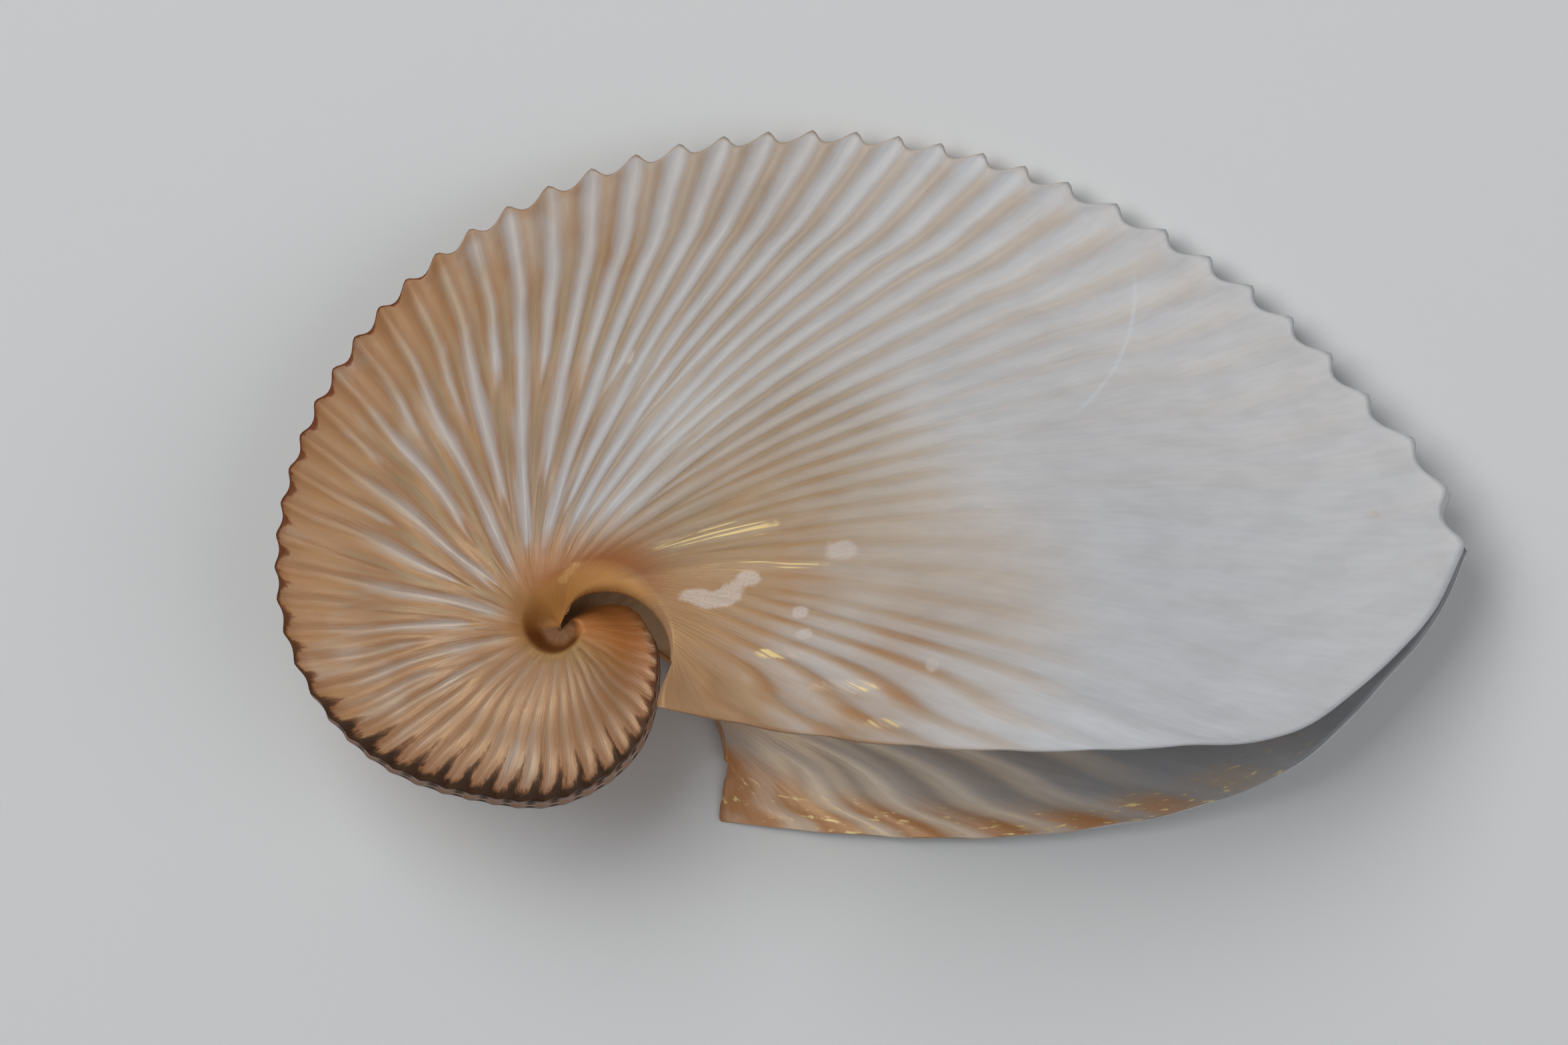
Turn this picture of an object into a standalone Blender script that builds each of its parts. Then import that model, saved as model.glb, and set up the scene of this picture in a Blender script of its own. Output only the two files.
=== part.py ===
"""Paper nautilus shell: one thin ribbed sheet, coiled in a plane, lying on its side.

The sheet is laid out as a fan of ribs. A rib starts at the inner margin, climbs over the
shoulder and runs across the flank to the keel, or on the last ribs to the lip. Both flanks
are the same fan, mirrored in the plane of the coil, and the keel joins them.
"""
import math

import bmesh
import bpy
import numpy as np
from mathutils import Matrix

MM = 0.001

# Rib numbers count from the first whorl. The last rib on the keel ends at the lip's tip,
# and the ribs after it end along the lip, the last one at the ear.
KEEL_RIBS = 67
LIP_RIBS = 10
LAST_RIB = KEEL_RIBS + LIP_RIBS

# Turn angle, in degrees, where a rib meets the keel. It grows as the shell did, clockwise
# as seen from above, from the +X direction.
RIB_TURN = (
    (0, -47), (5, -8.5), (10, 30.5), (15, 69.5), (18, 93), (21, 115.5), (24, 138.5), (27, 159),
    (31, 187.5), (35, 212), (39, 235), (43, 256), (47, 277), (51, 295), (55, 310.5), (57, 318),
    (59, 326.5), (63, 341.3), (67, 356.3),
)

# Radius of the keel's nodule tips from the coil's axis, in millimetres, at a turn angle. It
# runs on past the end of the keel, because the flank beside the lip is shaped by it too.
KEEL_RADIUS = (
    (-47, 2.6), (-24, 7.4), (4, 11.8), (34, 16.1), (59, 20.8), (87, 24.4), (116, 26.2),
    (147, 31.2), (173, 36.5), (212, 45.0), (246, 55.6), (277, 68.0), (303, 82.1),
    (327, 98.4), (341, 110.5), (356.3, 124.0), (380, 143.0), (410, 172.0),
)

# Half the width between the two rows of nodules on the keel.
KEEL_HALF_WIDTH = ((-47, 0.3), (0, 0.9), (90, 1.3), (180, 1.4), (270, 1.6), (356.3, 2.3))

# Lip from the tip of the keel to the ear: x and y in the plane of the coil, and half width.
LIP = (
    (123.7, 8.0, 2.3), (120.3, -0.5, 2.7), (112.2, -11.7, 3.6), (102.2, -19.9, 6.2),
    (87.3, -23.3, 12.3), (66.8, -25.1, 17.2), (50.0, -24.6, 19.8), (35.1, -22.8, 21.6),
    (18.3, -19.8, 24.0),
)

# Angle by which a rib's root lies behind its outer end, and how early it bends over.
RIB_LEAD = (
    (0, 0), (10, -4), (17, 4), (29, 11), (38, 19), (44, 25), (49.5, 31), (53, 27), (58, 20),
    (67, 17), (69, 18), (71.5, 19), (73, 16), (75, 11), (76, 9), (77, 14.6),
)
RIB_BEND = (
    (0, 1.5), (17, 2), (44, 2), (49, 1.6), (58, 1.1), (67, 1.2), (71, 1.3), (73, 1.3), (75, 1.2),
    (76, 1.3), (77, 4),
)

# Half width of the flank as a share of the keel radius, against radius as the same share.
FLANK_PROFILE = (
    (0.0, 0.118), (0.12, 0.128), (0.23, 0.130), (0.36, 0.127), (0.45, 0.118), (0.53, 0.105),
    (0.61, 0.085), (0.69, 0.060), (0.78, 0.038), (0.88, 0.024), (1.0, 0.018), (1.2, 0.018),
)
FLARE = ((-47, 0.5), (30, 0.5), (150, 0.0), (366, 0.0), (380, 0.8), (393, 1.2), (408, 2.6))

# Shoulder between flank and umbilicus, and the inner margin: radius and half width against
# turn angle. Up to the free margin's start the margin is the rim of a fine central bore.
SHOULDER_RADIUS = (
    (-50, 1.5), (0, 3.0), (90, 3.4), (180, 4.6), (270, 6.2), (315, 9.5), (340, 12.5),
    (360, 15.5), (380, 20.4), (393, 23.2),
)
MARGIN_RADIUS = (
    (-50, 0.8), (200, 0.8), (290, 0.8), (305, 1.1), (317, 2.0), (336, 4.4), (351, 7.6),
    (360, 10.2), (369, 13.2), (376, 16.2), (384, 19.4), (393, 22.4),
)
MARGIN_HALF_WIDTH = (
    (-50, 0.5), (0, 0.6), (180, 0.9), (290, 1.5), (305, 2.2), (317, 4.0), (336, 8.0),
    (351, 10.8), (360, 12.8), (369, 14.8), (376, 16.5), (384, 18.6), (393, 20.2),
)
FREE_MARGIN = ((290, 0.0), (335, 1.0), (400, 1.0))

NOSE_RIBS = 1.5

# Wall, and the share of it that the first ribs, the pit's rim and the ear have.
WALL = 0.5
THIN_WALL = 0.25
THIN_WALL_RIB = 3
FULL_WALL_RIB = 12
LAST_PIT_RIB = 60
EAR_RIB = 76

# Ribs and nodules, as shares of the distance between two ribs, with limits in millimetres.
# The nodules' share grows along the keel.
RIB_RELIEF = 0.11
RIB_LIMIT = 0.55
NODULE_SHARE = (
    (0, 0.03), (18, 0.05), (24, 0.06), (31, 0.10), (35, 0.14), (38, 0.20), (44, 0.22), (77, 0.24),
)
NODULE_LIMIT = 1.6
NODULE_REACH = 2.6

# How far ahead, in ribs, the ribs of the far flank sit, against rib number.
FAR_SHIFT = (
    (0, 0.0), (3, 0.25), (24, 0.25), (34, 0.0), (44, -0.1), (52, -0.2), (58, -0.26), (64, -0.2),
    (67, 0.0), (77, 0.0),
)

# Rows of points across one flank: -1 is the margin, 0 the shoulder and 1 the keel or lip.
ROWS = (-1.0, 0.0, 0.10, 0.27, 0.47, 0.70, 0.93, 1.0)
COLUMNS_PER_RIB = 2

# How it lies: the plane of the coil leans by this angle towards this heading.
REST_TILT = 13.3
REST_HEADING = -110.4


def smooth(knots, x):
    """Value of a smooth curve through (position, value, ...) knots."""
    table = np.array(knots, dtype=float)
    position, value = table[:, 0], table[:, 1:]
    slope = np.gradient(value, position, axis=0)
    x = np.clip(x, position[0], position[-1])
    i = np.clip(np.searchsorted(position, x) - 1, 0, len(position) - 2)
    step = (position[i + 1] - position[i])[..., None]
    t = (x - position[i])[..., None] / step
    rise = t * t * (3 - 2 * t)
    out = value[i] * (1 - rise) + value[i + 1] * rise
    out += step * t * (1 - t) * ((1 - t) * slope[i] - t * slope[i + 1])
    return out[..., 0] if value.shape[1] == 1 else out


def keel_radius(turn):
    """Radius of the keel, or of its run past the lip, at a turn angle."""
    knots = [(angle, math.log(radius)) for angle, radius in KEEL_RADIUS]
    return np.exp(smooth(knots, turn))


def outer_edge(rib):
    """Turn angle, radius and half width where a rib ends, on the keel or the lip."""
    turn = smooth(RIB_TURN, rib)
    radius = keel_radius(turn)
    half_width = smooth(KEEL_HALF_WIDTH, turn)
    points = np.array(LIP)
    run = np.r_[0, np.cumsum(np.linalg.norm(np.diff(points[:, :2], axis=0), axis=1))]
    lip = smooth(np.c_[KEEL_RIBS + LIP_RIBS * run / run[-1], points], rib)
    on_lip = rib > KEEL_RIBS
    lip_turn = np.degrees(np.arctan2(-lip[..., 1], lip[..., 0])) + 360
    turn = np.where(on_lip, lip_turn, turn)
    radius = np.where(on_lip, np.hypot(lip[..., 0], lip[..., 1]), radius)
    return turn, radius, np.where(on_lip, lip[..., 2], half_width)


def flank_half_width(turn, radius):
    """Half width of the smooth flank at a place in the plane of the coil."""
    keel = keel_radius(turn)
    return keel * smooth(FLANK_PROFILE, radius / keel) + smooth(FLARE, turn)


def smooth_flank(rib, row):
    """Points of the near flank without its ribs, in millimetres."""
    across = np.clip(row, 0, 1)
    inward = np.clip(-row, 0, 1)
    end_turn, end_radius, end_width = outer_edge(rib)
    lead = smooth(RIB_LEAD, rib)
    root_turn = end_turn - lead
    root_radius = smooth(SHOULDER_RADIUS, root_turn)
    radius = root_radius + (end_radius - root_radius) * across
    climb = np.log(radius / root_radius) / np.log(end_radius / root_radius)
    turn = end_turn - lead * np.clip(1 - climb, 0, 1) ** smooth(RIB_BEND, rib)
    half_width = flank_half_width(turn, radius)
    half_width += (end_width - flank_half_width(end_turn, end_radius)) * across**3

    # Inside the shoulder the sheet rolls over a quarter ellipse to its free margin, and in
    # the first whorls it sinks to the bottom of the umbilical pit.
    margin_radius = smooth(MARGIN_RADIUS, root_turn)
    margin_width = smooth(MARGIN_HALF_WIDTH, root_turn)
    free = smooth(FREE_MARGIN, root_turn)
    quarter = inward * math.pi / 2
    roll = free * np.sin(quarter) + (1 - free) * inward
    drop = free * (1 - np.cos(quarter)) + (1 - free) * (1 - np.cos(math.pi * inward)) / 2
    radius = radius + (margin_radius - root_radius) * roll
    half_width = half_width + (margin_width - half_width) * drop * (inward > 0)

    # The first ribs close the sheet to a rounded nose.
    open_share = np.sqrt(1 - (1 - np.clip(rib / NOSE_RIBS, 0, 1)) ** 2)
    angle = np.radians(turn)
    return np.stack([radius * np.cos(angle), -radius * np.sin(angle), half_width * open_share], -1)


def rib_spacing(rib, row):
    """Distance between two ribs, in millimetres."""
    step = 0.5
    ahead = smooth_flank(np.minimum(rib + step, LAST_RIB), row)
    behind = smooth_flank(np.maximum(rib - step, 0), row)
    return np.linalg.norm(ahead - behind, axis=-1)


def flank_normal(rib, row):
    """Unit normal of the smooth near flank, pointing out of the shell."""
    step = 0.01
    along = smooth_flank(np.minimum(rib + step, LAST_RIB), row)
    along = along - smooth_flank(np.maximum(rib - step, 0), row)
    across = smooth_flank(rib, np.minimum(row + step, 1)) - smooth_flank(rib, np.maximum(row - step, -1))
    normal = np.cross(across, along)
    return normal / np.maximum(np.linalg.norm(normal, axis=-1, keepdims=True), 1e-9)


def flank(rib, row, shift):
    """Points of the near flank with ribs and keel nodules, in millimetres.

    The shift, in ribs, moves the ribs ahead along the shell.
    """
    wave = np.cos(2 * math.pi * rib)
    fade = np.clip(rib / FULL_WALL_RIB, 0, 1) * np.clip(LAST_RIB - rib, 0, 1)
    on_keel = rib <= KEEL_RIBS
    nodule_share = smooth(NODULE_SHARE, rib)
    rib = rib + shift
    points = smooth_flank(rib, row)
    spacing = rib_spacing(rib, row)
    fade_root = np.clip((row + 0.02) / 0.12, 0, 1)
    relief = np.minimum(RIB_RELIEF * spacing, RIB_LIMIT) * wave * fade * fade_root
    points = points + flank_normal(rib, row) * relief[..., None]

    # The keel's outline runs over the tips of the nodules and dips in between them.
    distance = outer_edge(rib)[1] * (1 - np.clip(row, 0, 1))
    dip = (1 - (0.5 + 0.5 * wave) ** 2) * np.exp(-((distance / NODULE_REACH) ** 2))
    height = -np.minimum(nodule_share * spacing, NODULE_LIMIT) * dip * on_keel
    radius = np.maximum(np.hypot(points[..., 0], points[..., 1]), 1e-6)
    points[..., :2] *= (1 + height / radius)[..., None]
    return points


def sheet_point(rib, row, far):
    """A point of the whole sheet; on the far side the ribs are a little out of step."""
    point = flank(rib, row, np.where(far, smooth(FAR_SHIFT, rib), 0))
    point[..., 2] *= np.where(far, -1, 1)
    return point


def wall_thickness(rib, row):
    """Share of the full wall at a point of the sheet."""
    grown = np.clip((rib - THIN_WALL_RIB) / (FULL_WALL_RIB - THIN_WALL_RIB), 0, 1)
    at_rim = (row < 0) & (rib < LAST_PIT_RIB)
    at_ear = np.clip(rib - EAR_RIB, 0, 1) * (row < 0.2)
    return THIN_WALL + (1 - THIN_WALL) * grown * np.where(at_rim, 0, 1) * (1 - at_ear)


def rest_matrix():
    """Turns the coil's plane from level to the way the shell lies."""
    heading = math.radians(REST_HEADING)
    axis = (-math.sin(heading), math.cos(heading), 0)
    return Matrix.Rotation(-math.radians(REST_TILT), 4, axis)


def build_shell(collection):
    """Makes the shell: a mapped grid, closed along its nose and given its wall."""
    columns = LAST_RIB * COLUMNS_PER_RIB
    rows = 2 * len(ROWS) - 1
    bm = bmesh.new()
    bmesh.ops.create_grid(bm, x_segments=columns, y_segments=rows, size=0.5)
    grid = np.array([vertex.co[:] for vertex in bm.verts]) + 0.5
    column = np.rint(grid[:, 0] * columns)
    line = np.rint(grid[:, 1] * rows).astype(int)
    far = line >= len(ROWS)
    row = np.array(ROWS)[np.where(far, rows - line, line)]
    points = sheet_point(column / COLUMNS_PER_RIB, row, far) * MM
    wall_share = wall_thickness(column / COLUMNS_PER_RIB, row)

    # Beyond the tip of the keel the two flanks are apart.
    keel_band = [
        face for face in bm.faces
        if {line[v.index] for v in face.verts} == {len(ROWS) - 1, len(ROWS)}
        and min(column[v.index] for v in face.verts) >= KEEL_RIBS * COLUMNS_PER_RIB
    ]
    for vertex, point in zip(bm.verts, points):
        vertex.co = point
    group_layer = bm.verts.layers.deform.new()
    for vertex, share in zip(bm.verts, wall_share):
        vertex[group_layer][0] = share
    bmesh.ops.delete(bm, geom=keel_band, context="FACES_ONLY")
    bmesh.ops.remove_doubles(bm, verts=bm.verts, dist=1e-7)
    bmesh.ops.recalc_face_normals(bm, faces=bm.faces)

    mesh = bpy.data.meshes.new("shell")
    bm.to_mesh(mesh)
    bm.free()
    mesh.transform(rest_matrix())
    corners = np.array([vertex.co[:] for vertex in mesh.vertices])
    low, high = corners.min(axis=0), corners.max(axis=0)
    middle = (low + high) / 2
    mesh.transform(Matrix.Translation((-middle[0], -middle[1], -low[2])))

    shell = bpy.data.objects.new("shell", mesh)
    collection.objects.link(shell)
    shell.vertex_groups.new(name="wall")
    wall = shell.modifiers.new("wall", "SOLIDIFY")
    wall.thickness = WALL * MM
    wall.offset = -1
    wall.vertex_group = "wall"
    wall.use_rim = True
    mesh.materials.append(shell_material())
    return shell


def shell_material():
    """Greyish white to tan paper-thin calcite, half glossy."""
    material = bpy.data.materials.new("shell")
    material.use_nodes = True
    surface = material.node_tree.nodes["Principled BSDF"]
    surface.inputs["Base Color"].default_value = (0.42, 0.35, 0.27, 1)
    surface.inputs["Roughness"].default_value = 0.42
    surface.inputs["Metallic"].default_value = 0.0
    return material


def main():
    for old in list(bpy.data.objects):
        bpy.data.objects.remove(old, do_unlink=True)
    collection = bpy.data.collections.new("paper_nautilus_shell")
    bpy.context.scene.collection.children.link(collection)
    build_shell(collection)


main()
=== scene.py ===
import math

import bmesh
import bpy
import numpy as np
from mathutils import Matrix, Vector


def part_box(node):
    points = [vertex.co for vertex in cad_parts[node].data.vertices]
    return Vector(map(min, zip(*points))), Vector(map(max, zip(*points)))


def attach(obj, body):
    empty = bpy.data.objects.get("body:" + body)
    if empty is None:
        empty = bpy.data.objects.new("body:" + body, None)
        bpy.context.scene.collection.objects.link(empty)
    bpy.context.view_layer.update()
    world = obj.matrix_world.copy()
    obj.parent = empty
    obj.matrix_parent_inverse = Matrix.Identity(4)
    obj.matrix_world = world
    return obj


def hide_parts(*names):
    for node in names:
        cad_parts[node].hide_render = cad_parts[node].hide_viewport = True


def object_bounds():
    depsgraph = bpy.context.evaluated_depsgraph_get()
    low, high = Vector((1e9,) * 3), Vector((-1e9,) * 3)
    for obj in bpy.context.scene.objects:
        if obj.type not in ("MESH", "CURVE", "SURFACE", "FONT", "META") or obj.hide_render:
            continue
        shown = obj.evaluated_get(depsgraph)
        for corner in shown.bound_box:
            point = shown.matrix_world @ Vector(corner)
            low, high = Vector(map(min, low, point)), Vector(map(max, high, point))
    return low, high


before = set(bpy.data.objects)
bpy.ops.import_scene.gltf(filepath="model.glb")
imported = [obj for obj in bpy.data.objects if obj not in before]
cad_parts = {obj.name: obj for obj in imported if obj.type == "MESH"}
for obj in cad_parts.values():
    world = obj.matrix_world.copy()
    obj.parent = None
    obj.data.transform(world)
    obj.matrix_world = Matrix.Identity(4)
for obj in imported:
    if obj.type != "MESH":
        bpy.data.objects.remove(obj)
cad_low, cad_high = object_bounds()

MM = 0.001

# The form of the frame's solid, closer to the photograph at the keel's tip and the lip. Ribs
# go by number, places by turn angle in degrees, clockwise as seen from above, and by radius
# from the coil's axis. LIP has x, y and half width of points from the keel's tip to the ear.
KEEL_RIBS = 67
LIP_RIBS = 10
LAST_RIB = KEEL_RIBS + LIP_RIBS
RIB_TURN = (
    (0, -47), (5, -8.5), (10, 30.5), (15, 69.5), (18, 93), (21, 115.5), (24, 138.5), (27, 159),
    (31, 187.5), (35, 212), (39, 235), (43, 256), (47, 277), (51, 295), (55, 310.5), (57, 318),
    (59, 326.5), (63, 341.3), (67, 356.3),
)
KEEL_RADIUS = (
    (-47, 2.6), (-24, 7.9), (4, 12.4), (34, 16.3), (59, 20.8), (87, 24.4), (116, 26.2),
    (147, 31.2), (173, 36.5), (212, 45.0), (246, 55.6), (277, 68.0), (303, 82.1),
    (327, 98.4), (341, 110.5), (345.5, 114.5), (350.7, 120.9), (356.3, 124.0), (380, 143.0),
    (410, 172.0),
)
KEEL_HALF_WIDTH = (
    (-47, 0.3), (0, 0.9), (90, 1.3), (180, 1.4), (270, 1.6), (325, 1.7), (356.3, 1.3),
)
LIP = (
    (123.7, 8.0, 1.3), (120.1, -0.8, 1.7), (111.5, -11.2, 2.8), (101.7, -19.5, 5.7),
    (87.3, -23.3, 12.3), (66.8, -25.1, 17.2), (50.0, -24.6, 19.8), (35.1, -22.8, 21.6),
    (18.3, -19.8, 24.0),
)

# How far a rib's root lies behind its outer end, in degrees, and how the rib bends between.
RIB_LEAD = (
    (0, 0), (10, -4), (17, 4), (29, 11), (38, 19), (44, 25), (49.5, 31), (53, 27), (58, 20),
    (67, 17), (69, 18), (71.5, 19), (73, 16), (75, 11), (76, 9), (77, 14.6),
)
RIB_BEND = (
    (0, 1.5), (17, 2), (44, 2), (49, 1.6), (58, 1.1), (67, 1.2), (71, 1.3), (73, 1.3), (75, 1.2),
    (76, 1.2), (77, 1.5),
)

# Half width of the flank: a share of the keel's radius against the share of the way out, and
# what the last whorl flares beyond it. By a power of the way out it turns into the half width
# that the keel or the lip has.
FLANK_PROFILE = (
    (0.0, 0.118), (0.12, 0.128), (0.23, 0.130), (0.36, 0.127), (0.45, 0.118), (0.53, 0.105),
    (0.61, 0.085), (0.69, 0.060), (0.78, 0.038), (0.88, 0.024), (1.0, 0.018), (1.2, 0.018),
)
FLARE = ((-47, 0.5), (30, 0.5), (150, 0.0), (366, 0.0), (380, 0.8), (393, 1.2), (408, 2.6))
END_POWER = 3

# Roots of the ribs on the shoulder, and the free margin or pit rim inside it, by turn angle.
SHOULDER_RADIUS = (
    (-50, 1.5), (0, 3.2), (45, 4.1), (90, 4.9), (135, 5.0), (180, 5.0), (270, 6.2), (315, 9.5),
    (340, 12.5), (360, 15.5), (380, 20.4), (393, 23.2),
)
MARGIN_RADIUS = (
    (-50, 0.1), (200, 0.1), (290, 0.3), (305, 0.9), (317, 2.0), (336, 4.8), (351, 8.8),
    (360, 11.7), (369, 14.7), (376, 17.2), (384, 20.1), (393, 22.8),
)
MARGIN_HALF_WIDTH = (
    (-50, 0.5), (0, 0.6), (180, 0.9), (290, 1.5), (305, 2.2), (317, 4.0), (336, 8.0),
    (351, 10.8), (360, 12.8), (369, 14.8), (376, 16.5), (384, 18.6), (393, 20.2),
)
PIT_WALL_SHARE = ((-50, 0.55), (190, 0.55), (245, 1.0), (400, 1.0))
FREE_MARGIN = ((290, 0.0), (335, 1.0), (400, 1.0))
NOSE_RIBS = 1.5

# Full wall, the share of it that the first ribs, the pit's rim and the ears have, the ribs
# between which it grows, the last rib of the pit, and the first rib and last row of the ear.
WALL = 0.45
THIN_WALL = 0.25
THIN_WALL_RIB = 3
FULL_WALL_RIB = 12
LAST_PIT_RIB = 60
EAR_RIB = 76
EAR_ROW = 0.2

# How far the far flank's ribs run ahead of the near ones, in ribs.
FAR_SHIFT = (
    (0, 0.0), (3, 0.25), (24, 0.25), (34, 0.0), (44, -0.1), (52, -0.2), (58, -0.26), (64, -0.2),
    (67, 0.0),
)

# How the shell lies: the lean of the coil's plane and the way that it leans. The sheet is a
# hair smaller than the solid, so that its crests stay inside.
REST_TILT = 13.3
REST_HEADING = -110.4
CREST_ROOM = 0.999

# Relief that only the fine surface has. Ribs are rounded crests with narrower grooves, and
# the share of a rib's pitch that its crest takes grows along the shell.
RIB_RELIEF = 0.085
RIB_LIMIT = 0.42
CREST_SHARE = (
    (0, 0.45), (27, 0.38), (35, 0.33), (41, 0.35), (46, 0.43), (50, 0.50), (56, 0.56), (77, 0.62),
)
RELIEF_SHARE = (
    (0, 0.2), (22, 0.35), (28, 0.8), (34, 1.0), (53, 1.0), (58, 0.75), (63, 0.4), (66, 0.25),
    (70, 0.25), (73, 0.5), (75, 0.6), (77, 0.2),
)

# Radius, against turn angle, where the ribs rise out of the smooth umbilicus.
RIB_START = (
    (-47, 2.6), (60, 3.8), (150, 4.8), (200, 6.0), (250, 7.5), (290, 9.0), (310, 11.5),
    (330, 15.0), (350, 20.0), (376, 26.0), (408, 26.0),
)
RIB_START_EDGE = (0.8, 1.6)

# Hollow between the two rows of nodules, and how far the far row stands out past the near
# one, both by turn angle; the rows over which it does, and the least radius for that. On the
# lip the ribs shift by half a rib.
KEEL_GROOVE = ((-47, 0.1), (30, 0.5), (170, 0.5), (220, 0.3), (356, 0.3))
FAR_PUSH = ((-47, 0.0), (20, 0.0), (45, 0.15), (150, 0.15), (175, 0.0), (356, 0.0))
FAR_PUSH_ROWS = (0.85, 1.0)
LEAST_RADIUS = 1.0
LIP_PHASE = ((0, 0.0), (67, 0.0), (70.5, 0.5), (77, 0.5))

# Nodule height as a share of the pitch, its limit, how far it reaches from the keel, its half
# width in ribs and the roundness of its tip, how far it stands out sideways, and the ribs
# over which the rows of nodules end.
NODULE_SHARE = (
    (0, 0.03), (18, 0.06), (24, 0.08), (31, 0.13), (35, 0.20), (38, 0.28), (41, 0.30),
    (47, 0.34), (77, 0.34),
)
NODULE_LIMIT = 2.2
NODULE_REACH = 2.4
NODULE_WIDTH = 0.26
NODULE_POWER = 1.8
NODULE_FLARE = 0.25
NODULE_FLARE_REACH = 1.3
NODULES_END = (KEEL_RIBS - 0.05, KEEL_RIBS + 0.05)

# Elbow of the ribs a little way in from the keel: turn angle, distance in, and its sharpness.
ELBOW_TURN = ((0, 0.0), (35, 0.0), (42, 0.4), (52, 0.5), (57, 0.8), (63, 0.7), (67, 0.3), (71, 0.0))
ELBOW_DISTANCE = ((0, 4.0), (39, 11.0), (49, 14.0), (57, 17.0), (67, 20.0))
ELBOW_FALL = 0.22

# Where ribs would come closer than this, every second one ends and leaves room for the next.
# Two waves, each with a rate per rib, a rate per row and a start, spread the ends.
RIB_ROOM = ((0, 1.5), (20, 1.7), (28, 3.4), (33, 5.2), (45, 5.0), (50, 4.0), (56, 3.5), (77, 3.4))
RIB_END = (0.40, 0.85)
RIB_END_SPREAD = 0.28
RIB_END_WAVES = ((5.1, 0, 1.3), (2.3, 9, 0))
MOST_HALVINGS = 3.9
LEAST_SPACING = 0.2

# Slow wandering of the ribs: the sum of some waves, held still at the keel and at the root.
WOBBLE = 0.13
WOBBLE_GAIN = 2.4
WOBBLE_SEED = 11
WOBBLE_WAVES = 6
WOBBLE_RIB_RATE = (0.15, 0.9)
WOBBLE_ROW_RATE = (4, 16)
WOBBLE_HELD_KEEL = (0.03, 0.2)
WOBBLE_HELD_ROOT = (0.1, 0.4)

# The grid: columns along the shell and rows across it, closer together near the keel, and
# the distance at which its points are joined.
COLUMNS_PER_RIB = 9
MARGIN_ROWS = 8
FLANK_ROWS = 25
KEEL_ROWS = 4
ROW_CROWDING = 1.45
MERGE_DISTANCE = 0.0001

# Camera: how the photograph looks at the plane of the coil. It stands far off with a long
# lens, so that perspective is weak.
PHOTO_WIDTH = 2352
PHOTO_HEIGHT = 1568
MM_PER_PIXEL = 0.09
AXIS_PIXEL = (842, 945)
VIEW_TILT = 22.0
VIEW_AWAY = (0.47, -0.883)
CAMERA_DISTANCE = 4.0
SENSOR = 36.0

# Lights as name, direction, distance, size and power. The warm lamps' directions are in the
# axes of the coil's plane, and these lamps only light gloss.
COOL_WHITE = (0.94, 0.97, 1.0)
WARM_WHITE = (1.0, 0.72, 0.36)
SOFT_LIGHTS = (
    ("soft_top", (-0.35, 0.35, 1.0), 1.2, 1.1, 8.0),
    ("soft_right", (0.9, -0.35, 0.9), 1.3, 0.9, 3.4),
)
WARM_LAMPS = (
    ("warm_lamp_outside", (-0.2, 0.75, 0.62), 1.3, 0.26, 7.0),
    ("warm_lamp_inside", (-0.45, 0.08, 0.88), 1.3, 0.26, 7.0),
)
SKY = (0.90, 0.93, 0.97, 1)
SKY_STRENGTH = 0.18
FLOOR_GREY = (232, 232, 231)
FLOOR_ROUGHNESS = 0.75
FLOOR_HALF_SIZE = 3.0


def smooth(knots, x):
    """Value of a smooth curve through (position, value, ...) knots."""
    table = np.array(knots, dtype=float)
    position, value = table[:, 0], table[:, 1:]
    slope = np.gradient(value, position, axis=0)
    x = np.clip(x, position[0], position[-1])
    i = np.clip(np.searchsorted(position, x) - 1, 0, len(position) - 2)
    step = (position[i + 1] - position[i])[..., None]
    t = (x - position[i])[..., None] / step
    rise = t * t * (3 - 2 * t)
    out = value[i] * (1 - rise) + value[i + 1] * rise
    out += step * t * (1 - t) * ((1 - t) * slope[i] - t * slope[i + 1])
    return out[..., 0] if value.shape[1] == 1 else out


def zone(knots, x):
    """Value of straight lines through (position, value) knots."""
    position, value = np.transpose(knots)
    return np.interp(x, position, value)


def ease(x, low, high):
    """Smooth step from 0 at low to 1 at high."""
    t = np.clip((x - low) / (high - low), 0, 1)
    return t * t * (3 - 2 * t)


def between(x, comes, goes):
    """Smooth step up over the first range and down again over the second."""
    return ease(x, *comes) * (1 - ease(x, *goes))


def keel_radius(turn):
    """Radius of the keel, or of its run past the lip, at a turn angle."""
    knots = [(angle, math.log(radius)) for angle, radius in KEEL_RADIUS]
    return np.exp(smooth(knots, turn))


def outer_edge(rib):
    """Turn angle, radius and half width where a rib ends, on the keel or the lip."""
    turn = smooth(RIB_TURN, rib)
    radius = keel_radius(turn)
    half_width = smooth(KEEL_HALF_WIDTH, turn)
    points = np.array(LIP)
    run = np.r_[0, np.cumsum(np.linalg.norm(np.diff(points[:, :2], axis=0), axis=1))]
    lip = smooth(np.c_[KEEL_RIBS + LIP_RIBS * run / run[-1], points], rib)
    on_lip = rib > KEEL_RIBS
    lip_turn = np.degrees(np.arctan2(-lip[..., 1], lip[..., 0])) + 360
    turn = np.where(on_lip, lip_turn, turn)
    radius = np.where(on_lip, np.hypot(lip[..., 0], lip[..., 1]), radius)
    return turn, radius, np.where(on_lip, lip[..., 2], half_width)


def flank_half_width(turn, radius):
    """Half width of the smooth flank at a place in the plane of the coil."""
    keel = keel_radius(turn)
    return keel * smooth(FLANK_PROFILE, radius / keel) + smooth(FLARE, turn)


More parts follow.
